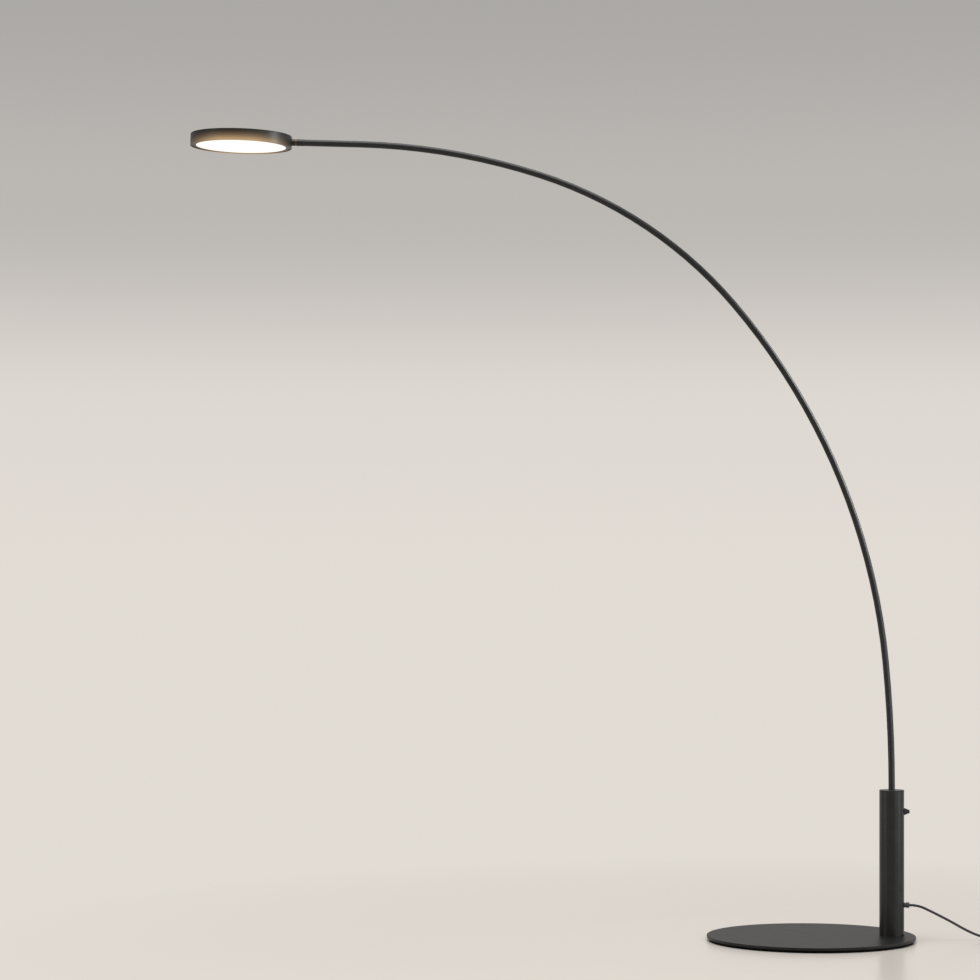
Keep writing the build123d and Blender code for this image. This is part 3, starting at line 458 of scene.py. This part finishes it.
# %% [markdown]
# ## Powder coat
# Powder paint is sprayed dry and baked, so it is never quite flat: a fine sandy grain of about
# half a millimetre lies on a slow orange-peel swell. It is nearly black, but at a low angle it
# takes a grey sheen from what is round it. There are two coats here: a satin one on the column,
# the tube and its tip, which draws narrow streaks, and a duller textured one on the plate and the
# head. Roughness only changes slowly and a little, because a fast change would break the thin
# highlight along the tube into dots.

# %% Powder coat
POWDER_SHADES = (0.006, 0.006, 0.0062), (0.010, 0.0099, 0.0097)
TEXTURED = {"roughness": (0.385, 0.415), "specular": 0.18, "sand_depth": 0.000004}
SATIN = {"roughness": (0.29, 0.31), "specular": 0.30, "sand_depth": 0.000001}
MOTTLE_SIZE, PEEL_SIZE, SAND_SIZE = 0.030, 0.004, 0.0005
PEEL_TO_SAND_DEPTH = 2


def powder_coat(name, roughness, specular, sand_depth):
    material, tree, shader = new_finish(name)
    mottle = grain(tree, MOTTLE_SIZE, detail=3.0)
    sand = grain(tree, SAND_SIZE)
    peel = grain(tree, PEEL_SIZE, detail=1.0)
    tree.links.new(colour_between(tree, mottle, *POWDER_SHADES), shader.inputs["Base Color"])
    tree.links.new(value_between(tree, mottle, *roughness), shader.inputs["Roughness"])
    set_inputs(shader, Specular_IOR_Level=specular)
    dents(tree, shader, ((peel, PEEL_TO_SAND_DEPTH * sand_depth), (sand, sand_depth)))
    return material


# %% [markdown]
# ## Moulded plastic, rubber, cord sheath and tape
# The switch and the plug are black plastic with a spark-eroded mould texture, about as glossy as
# the paint. The gland is a greyer, rougher nylon. The pad under the plate is dull foam rubber with
# open pores. Its colour is painted shade as well as the rubber's black: blacker than rubber, for the
# shade in the recess under the plate, and darker in each pore. The cord's PVC sheath is smooth,
# with faint streaks from the die it was pulled through, and the tie's tape is ribbed and fuzzy.
# Scanned textures would need a picture for each
# of them, so every finish is a pattern with the size of the real mark: fine grains for the mould,
# cells for the pores, long grains for the streaks and waves for the ribs.

# %% Moulded plastic and foam rubber
MOULD_TEXTURE_SIZE, MOULD_TEXTURE_DEPTH = 0.0004, 0.00002
MOULD_FLOW_SIZE, MOULD_FLOW_SPREAD = 0.012, 0.06
PORES_PER_METRE, PORE_DEPTH = 900.0, 0.0003


def moulded_plastic(name, dark, light, roughness, specular=0.5):
    material, tree, shader = new_finish(name)
    texture = grain(tree, MOULD_TEXTURE_SIZE)
    flow = grain(tree, MOULD_FLOW_SIZE)
    dullness = (roughness - MOULD_FLOW_SPREAD, roughness + MOULD_FLOW_SPREAD)
    tree.links.new(colour_between(tree, flow, dark, light), shader.inputs["Base Color"])
    tree.links.new(value_between(tree, flow, *dullness), shader.inputs["Roughness"])
    set_inputs(shader, Specular_IOR_Level=specular)
    dents(tree, shader, ((texture, MOULD_TEXTURE_DEPTH),))
    return material


def foam_rubber(name, dark, light):
    material, tree, shader = new_finish(name)
    cells = add_node(tree, "ShaderNodeTexVoronoi", Scale=PORES_PER_METRE)
    place = add_node(tree, "ShaderNodeTexCoord")
    tree.links.new(place.outputs["Object"], cells.inputs["Vector"])
    pores = cells.outputs["Distance"]
    # Painted shade in the pores: each pore is coloured darker than the foam round it.
    shade = colour_between(tree, pores, dark, light, start=0.1, end=0.6)
    tree.links.new(shade, shader.inputs["Base Color"])
    set_inputs(shader, Roughness=0.92, Specular_IOR_Level=0.1)
    dents(tree, shader, ((pores, PORE_DEPTH),))
    return material


# %% Cord sheath and tape
SHEATH_STREAK_SIZE, SHEATH_STREAK_STRETCH = 0.004, (0.2, 0.2, 1)
SHEATH_SKIN_SIZE, SHEATH_SKIN_DEPTH = 0.0006, 0.00001
SHEATH_ROUGHNESS = (0.36, 0.48)
TAPE_RIB_SCALE, TAPE_RIB_DEPTH = 420.0, 0.00015
TAPE_FUZZ_SIZE, TAPE_FUZZ_DEPTH = 0.0005, 0.0001


def cord_sheath(name, dark, light):
    material, tree, shader = new_finish(name)
    streak = grain(tree, SHEATH_STREAK_SIZE, stretch=SHEATH_STREAK_STRETCH)
    skin = grain(tree, SHEATH_SKIN_SIZE, detail=1.0)
    tree.links.new(colour_between(tree, streak, dark, light), shader.inputs["Base Color"])
    tree.links.new(value_between(tree, streak, *SHEATH_ROUGHNESS), shader.inputs["Roughness"])
    dents(tree, shader, ((skin, SHEATH_SKIN_DEPTH),))
    return material


def loop_tape(name, dark, light):
    """The tie's woven back: fine ribs across the tape with fuzz over them."""
    material, tree, shader = new_finish(name)
    place = add_node(tree, "ShaderNodeTexCoord")
    rib = add_node(tree, "ShaderNodeTexWave", Scale=TAPE_RIB_SCALE, Distortion=1.2)
    rib.bands_direction = "Y"
    tree.links.new(place.outputs["Object"], rib.inputs["Vector"])
    fuzz = grain(tree, TAPE_FUZZ_SIZE, detail=3.0)
    tree.links.new(colour_between(tree, fuzz, dark, light), shader.inputs["Base Color"])
    set_inputs(shader, Roughness=0.95, Sheen_Weight=0.3)
    dents(tree, shader, ((rib.outputs["Fac"], TAPE_RIB_DEPTH), (fuzz, TAPE_FUZZ_DEPTH)))
    return material


# %% [markdown]
# ## Metals
# The neck of the swivel, the screws, the nuts and the washers come from a lathe or a press. A tool
# leaves fine rings round a turned piece. The shader's anisotropic setting could draw their sheen,
# but it needs a tangent for each piece, so here a noise is squeezed along one axis instead. A
# larger noise clouds the colour slightly, as plating and tarnish do.

# %% Metals
TOOL_RING_SIZE, TOOL_RING_DEPTH, TOOL_RING_SPREAD = 0.004, 0.00002, 0.08
PLATING_CLOUD_SIZE = 0.010


def turned_metal(name, dark, light, roughness, squeeze):
    material, tree, shader = new_finish(name)
    rings = grain(tree, TOOL_RING_SIZE, stretch=squeeze)
    cloud = grain(tree, PLATING_CLOUD_SIZE)
    dullness = (roughness - TOOL_RING_SPREAD, roughness + TOOL_RING_SPREAD)
    tree.links.new(colour_between(tree, cloud, dark, light), shader.inputs["Base Color"])
    tree.links.new(value_between(tree, rings, *dullness), shader.inputs["Roughness"])
    set_inputs(shader, Metallic=1.0)
    dents(tree, shader, ((rings, TOOL_RING_DEPTH),))
    return material


# %% [markdown]
# ## Opal light
# The diffuser is opal acrylic, lit from behind by the board. It is so bright that the picture
# shows plain white, but towards its rim the light thins out and turns warm. A clouded sheet with
# small lamps behind it would be nearer the real thing, but slow and grainy to render. Emission
# that falls off over the last centimetre, measured from the disc's own middle, gives that rim at
# any angle.

# %% Opal diffuser
HEAD_TILT = radians(1.5)
HEAD_UP = Vector((sin(HEAD_TILT), 0.0, cos(HEAD_TILT)))
LIT_LOW, LIT_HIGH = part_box("diffuser")
LIT_MIDDLE = (LIT_LOW + LIT_HIGH) / 2
LIT_RADIUS = (LIT_HIGH.y - LIT_LOW.y) / 2
MILK_SHADES = (0.40, 0.395, 0.385), (0.44, 0.435, 0.42)
MILK_CLOUD_SIZE = 0.02


def vector_maths(tree, operation, source, other):
    """A difference, product or dot product of a vector in the tree and a fixed one."""
    made = add_node(tree, "ShaderNodeVectorMath")
    made.operation = operation
    made.inputs[1].default_value = other
    tree.links.new(source, made.inputs[0])
    return made


def from_lit_middle(tree):
    place = add_node(tree, "ShaderNodeTexCoord")
    return vector_maths(tree, "SUBTRACT", place.outputs["Object"], LIT_MIDDLE).outputs["Vector"]


def lit_distance(tree):
    return vector_length(tree, from_lit_middle(tree))


def lit_height(tree):
    return vector_maths(tree, "DOT_PRODUCT", from_lit_middle(tree), HEAD_UP).outputs["Value"]


def opal_light(name, inner_share, core, rim, strengths):
    material, tree, shader = new_finish(name)
    edge = value_between(tree, lit_distance(tree), 0, 1, inner_share * LIT_RADIUS, LIT_RADIUS)
    tree.links.new(colour_between(tree, edge, core, rim, 0.0, 1.0), shader.inputs["Emission Color"])
    tree.links.new(value_between(tree, edge, *strengths, 0.0, 1.0), shader.inputs["Emission Strength"])
    milk = colour_between(tree, grain(tree, MILK_CLOUD_SIZE), *MILK_SHADES)
    tree.links.new(milk, shader.inputs["Base Color"])
    set_inputs(shader, Roughness=0.45)
    return material


print("lit disc radius", round(LIT_RADIUS, 4))

# %% [markdown]
# ## Painted glow round the light
# In the photograph the paint next to the lit disc glows amber: the ring round it, and the head's
# side above its lower edge, most on the front and hardly at the two ends. That glow is painted
# light, not light that falls on the paint: a faint amber emission painted into the same powder
# coat. A bloom added to the picture would be lost when the lamp is used elsewhere, so the painted
# glow is part of the head's paint. On the side it fades with the height above the lit face, on the
# ring with the distance from the middle, and on both towards the two ends. The head's flat top is
# duller than its side, so that it doesn't mirror the lights at a low angle.

# %% Painted glow in the powder coat
GLOW_COLOUR = (1.0, 0.66, 0.34, 1.0)
GLOW_FADE_POWER = 3.0
GLOW_AT_ENDS = 0.2
WALL_GLOW_REACH, WALL_GLOW = 0.030, 0.45
RING_GLOW_WIDTH, RING_GLOW = 0.004, 0.45


def front_and_back(tree):
    """1 on the head's front and back, less towards its two ends along the arc."""
    sideways = vector_maths(tree, "MULTIPLY", from_lit_middle(tree), (0, 1 / LIT_RADIUS, 0))
    share = vector_length(tree, sideways.outputs["Vector"])
    return value_between(tree, share, GLOW_AT_ENDS, 1.0, 0.0, 1.0)


def add_glow(material, mask, strength):
    """Faint painted glow: emission where the mask is 1, fading fast as it falls to 0."""
    tree = material.node_tree
    shader = tree.nodes["Principled BSDF"]
    fade = add_node(tree, "ShaderNodeMath")
    fade.operation = "POWER"
    fade.inputs[1].default_value = GLOW_FADE_POWER
    tree.links.new(joined(tree, "MULTIPLY", mask, front_and_back(tree)), fade.inputs[0])
    level = value_between(tree, fade.outputs["Value"], 0.0, strength, 0.0, 1.0)
    tree.links.new(level, shader.inputs["Emission Strength"])
    set_inputs(shader, Emission_Color=GLOW_COLOUR)
    return material


def glow_up_wall(material, reach, strength):
    tree = material.node_tree
    return add_glow(material, value_between(tree, lit_height(tree), 1.0, 0.0, 0.0, reach), strength)


def glow_out_ring(material, width, strength):
    tree = material.node_tree
    mask = value_between(tree, lit_distance(tree), 1.0, 0.0, LIT_RADIUS, LIT_RADIUS + width)
    return add_glow(material, mask, strength)


# %% Duller top of the head
TOP_ROUGHNESS = 0.65
TOP_STARTS_BELOW, TOP_FULL_BELOW = 0.0012, 0.0002


def duller_top(material, piece, roughness):
    """Raises the roughness over the last millimetre below the piece's highest point."""
    tree = material.node_tree
    shader = tree.nodes["Principled BSDF"]
    top = max((vertex.co - LIT_MIDDLE).dot(HEAD_UP) for vertex in piece.data.vertices)
    band = (top - TOP_STARTS_BELOW, top - TOP_FULL_BELOW)
    wall_roughness = shader.inputs["Roughness"].links[0].from_socket
    top_roughness = value_between(tree, lit_height(tree), 0.0, roughness, *band)
    either = joined(tree, "MAXIMUM", wall_roughness, top_roughness)
    tree.links.new(either, shader.inputs["Roughness"])
    print("head top above the lit face", round(top, 4))
    return material


# %% [markdown]
# ## Dress every piece
# Each imported piece names a material slot, so one table from slot to finish dresses them all in a
# loop. A few pieces then get a finish of their own: the plate, the head, whose paint carries a
# painted amber glow next to the lit disc, and the gland, which is a greyer nylon than the other
# plastics.

# %% Finish of every slot
FINISHES = {
    "powder_black": powder_coat("powder_black", **SATIN),
    # The pad's near-black colours are painted shade for the recess under the plate, over the rubber's
    # own black.
    "foam_pad": foam_rubber("foam_pad", (0.001, 0.001, 0.001), (0.004, 0.004, 0.004)),
    "acetal": moulded_plastic(
        "acetal", (0.70, 0.69, 0.65), (0.76, 0.75, 0.71), roughness=0.45),
    "white_plastic": moulded_plastic(
        "white_plastic", (0.72, 0.72, 0.70), (0.78, 0.78, 0.76), roughness=0.42),
    "black_plastic": moulded_plastic(
        "black_plastic", (0.004, 0.004, 0.004), (0.008, 0.008, 0.008), roughness=0.36, specular=0.25),
    "black_rubber": moulded_plastic(
        "black_rubber", (0.010, 0.010, 0.010), (0.018, 0.018, 0.018), roughness=0.75),
    "board_white": moulded_plastic(
        "board_white", (0.70, 0.71, 0.70), (0.76, 0.77, 0.76), roughness=0.50),
    "led_yellow": moulded_plastic(
        "led_yellow", (0.78, 0.62, 0.16), (0.84, 0.70, 0.24), roughness=0.40),
    "cord_black": cord_sheath("cord_black", (0.006, 0.006, 0.006), (0.012, 0.012, 0.012)),
    "tie_band": loop_tape("tie_band", (0.010, 0.010, 0.011), (0.030, 0.030, 0.031)),
    "zinc_steel": turned_metal(
        "zinc_steel", (0.50, 0.51, 0.53), (0.62, 0.63, 0.64), roughness=0.38, squeeze=(1, 1, 12)),
    "brass": turned_metal(
        "brass", (0.060, 0.042, 0.020), (0.10, 0.070, 0.034), roughness=0.50, squeeze=(14, 1, 1)),
    "bright_pins": turned_metal(
        "bright_pins", (0.66, 0.64, 0.60), (0.76, 0.74, 0.70), roughness=0.22, squeeze=(1, 14, 1)),
    "bare_aluminium": turned_metal(
        "bare_aluminium", (0.66, 0.67, 0.68), (0.74, 0.75, 0.76), roughness=0.34, squeeze=(6, 1, 1)),
    "opal": opal_light(
        "opal", inner_share=0.91, core=(1.0, 0.985, 0.965), rim=(1.0, 0.74, 0.44),
        strengths=(0.70, 0.55)),
}
print("finishes", len(FINISHES))


# %% Dress the pieces
def wear(piece, *finishes):
    piece.data.materials.clear()
    for finish in finishes:
        piece.data.materials.append(finish)


for node, piece in NODES.items():
    wear(piece, FINISHES[SLOT_OF[node]])
wear(NODES["base_plate"], powder_coat("powder_textured", **TEXTURED))
# The head's side and the ring round the disc get the powder coat with a painted amber glow, which
# stands in for light.
wall_paint_and_glow = glow_up_wall(powder_coat("powder_glow_wall", **TEXTURED), WALL_GLOW_REACH, WALL_GLOW)
wear(NODES["head_housing"], duller_top(wall_paint_and_glow, NODES["head_housing"], TOP_ROUGHNESS))
ring_paint_and_glow = glow_out_ring(powder_coat("powder_glow_ring", **TEXTURED), RING_GLOW_WIDTH, RING_GLOW)
wear(NODES["head_bezel"], ring_paint_and_glow)
gland_nylon = moulded_plastic(
    "gland_nylon", (0.022, 0.022, 0.022), (0.032, 0.032, 0.031), roughness=0.50)
for node in ("gland_body", "gland_cap"):
    wear(NODES[node], gland_nylon)
wear(cord, FINISHES["cord_black"])
wear(plug, FINISHES["black_plastic"])
wear(pins, FINISHES["bright_pins"], FINISHES["black_plastic"])
wear(tie, FINISHES["tie_band"])
print("packed pieces dressed", len(NODES))

# %% [markdown]
# ## Floor and backdrop
# The lamp stands on a plain pale floor that runs on until it meets the same pale backdrop. A curved
# sheet behind the lamp, as in a studio, would show its edges from the other sides. So the floor is
# a real surface near the lamp, where it takes the shadow, and further out it fades into the
# backdrop's own colour. The backdrop is drawn on the world. It darkens upwards, and above the
# picture it lightens again.

# %% Floor
BACKDROP = (0.755, 0.712, 0.66)
FLOOR_SIZE = 120.0
FLOOR_FADE = (0.6, 2.0)
FLOOR_ROUGHNESS, FLOOR_SPECULAR = 0.24, 0.5


def pale_floor():
    bm = bmesh.new()
    bmesh.ops.create_grid(bm, x_segments=1, y_segments=1, size=FLOOR_SIZE / 2)
    floor = mesh_object("floor", bm)
    material, tree, shader = new_finish("pale_floor")
    set_inputs(shader, Base_Color=(*BACKDROP, 1.0))
    set_inputs(shader, Roughness=FLOOR_ROUGHNESS, Specular_IOR_Level=FLOOR_SPECULAR)
    place = add_node(tree, "ShaderNodeTexCoord")
    away = vector_length(tree, place.outputs["Object"])
    glow = add_node(tree, "ShaderNodeEmission", Color=(*BACKDROP, 1.0), Strength=1.0)
    blend = add_node(tree, "ShaderNodeMixShader")
    tree.links.new(value_between(tree, away, 0, 1, *FLOOR_FADE), blend.inputs["Fac"])
    tree.links.new(shader.outputs["BSDF"], blend.inputs[1])
    tree.links.new(glow.outputs["Emission"], blend.inputs[2])
    tree.links.new(blend.outputs["Shader"], tree.nodes["Material Output"].inputs["Surface"])
    wear(floor, material)


pale_floor()
print("floor fades between", *FLOOR_FADE, "metres from the middle of the plate")

# %% World
WORLD_LIGHT = 0.62
WORLD_TINT = (1.0, 0.985, 0.965, 1.0)
# Height of the view direction from level, 0, to straight up, 1, and the colour seen there
BACKDROP_STOPS = (
    (0.00, BACKDROP),
    (0.05, (0.735, 0.692, 0.648)),
    (0.12, (0.50, 0.478, 0.455)),
    (0.19, (0.41, 0.395, 0.38)),
    (0.55, (0.80, 0.79, 0.78)),
)


def studio_world():
    world = bpy.data.worlds.new("studio")
    world.use_nodes = True
    tree = world.node_tree
    light = tree.nodes["Background"]
    set_inputs(light, Color=WORLD_TINT, Strength=WORLD_LIGHT)
    seen = add_node(tree, "ShaderNodeBackground", Strength=1.0)
    place = add_node(tree, "ShaderNodeTexCoord")
    split = add_node(tree, "ShaderNodeSeparateXYZ")
    tree.links.new(place.outputs["Generated"], split.inputs["Vector"])
    tree.links.new(colour_ramp(tree, split.outputs["Z"], BACKDROP_STOPS), seen.inputs["Color"])
    path = add_node(tree, "ShaderNodeLightPath")
    shown = path.outputs["Is Camera Ray"]
    for ray in ("Is Glossy Ray", "Is Transmission Ray"):
        shown = joined(tree, "MAXIMUM", shown, path.outputs[ray])
    blend = add_node(tree, "ShaderNodeMixShader")
    tree.links.new(shown, blend.inputs["Fac"])
    tree.links.new(light.outputs["Background"], blend.inputs[1])
    tree.links.new(seen.outputs["Background"], blend.inputs[2])
    tree.links.new(blend.outputs["Shader"], tree.nodes["World Output"].inputs["Surface"])
    bpy.context.scene.world = world


studio_world()
print("backdrop stops", len(BACKDROP_STOPS))

# %% [markdown]
# ## Lights
# One wide panel overhead lights the floor and the lamp together. Three smaller panels at the sides
# and the front draw the long grey streaks down the column. The smallest draws the streak on the
# head's side, and a last one the bright strip along the arc. A photographer would hang black flags
# so that these five miss the floor. Light linking does the same here: each of the five lights only
# the pieces in its list.

# %% Lights
WARM, NEUTRAL, COOL = (1.0, 0.93, 0.85), (1.0, 0.99, 0.97), (0.94, 0.97, 1.0)
LAMP = [*NODES.values(), cord, plug, pins, tie]
ARC = [NODES["arc_tube"]]
HEAD = [NODES[node] for node in ("head_housing", "head_bezel", "head_stub", "swivel_collar")]
# Name, place, aim, width and height, watts, colour, the pieces it lights
SOFT_LIGHTS = (
    ("top_light", (-0.5, -0.6, 4.6), (-0.5, 0.0, 0.0), (3.2, 3.2), 125.0, NEUTRAL, None),
    ("right_light", (3.5, -1.3, 0.9), (0.0, 0.0, 0.5), (1.6, 1.8), 31.0, COOL, LAMP),
    ("left_light", (-4.2, -1.5, 1.1), (-0.2, 0.0, 0.5), (1.4, 2.0), 28.0, WARM, LAMP),
    ("front_light", (2.6, -3.2, 1.0), (0.0, 0.0, 0.5), (2.0, 1.8), 27.0, COOL, LAMP),
    ("side_light", (3.0, -0.35, 2.25), (-1.2, 0.0, 1.8), (0.6, 0.7), 95.0, COOL, HEAD),
    ("rim_light", (3.0, -0.25, 2.6), (0.0, 0.0, 1.2), (2.0, 1.8), 180.0, COOL, ARC),
)


def soft_light(name, place, target, size, power, colour, reach):
    """A rectangular panel; with a reach, light linking keeps it off everything else."""
    data = bpy.data.lights.new(name, "AREA")
    data.shape = "RECTANGLE"
    data.size, data.size_y = size
    data.energy = power
    data.color = colour
    light = add_object(name, data)
    light.location = place
    light.rotation_mode = "QUATERNION"
    light.rotation_quaternion = (Vector(target) - Vector(place)).to_track_quat("-Z", "Y")
    light.visible_camera = False
    if reach:
        lit = bpy.data.collections.new(name + "_reach")
        for piece in reach:
            lit.objects.link(piece)
        light.light_linking.receiver_collection = lit


for settings in SOFT_LIGHTS:
    soft_light(*settings)
bpy.context.scene.view_settings.view_transform = "Standard"
print("soft lights", len(SOFT_LIGHTS))
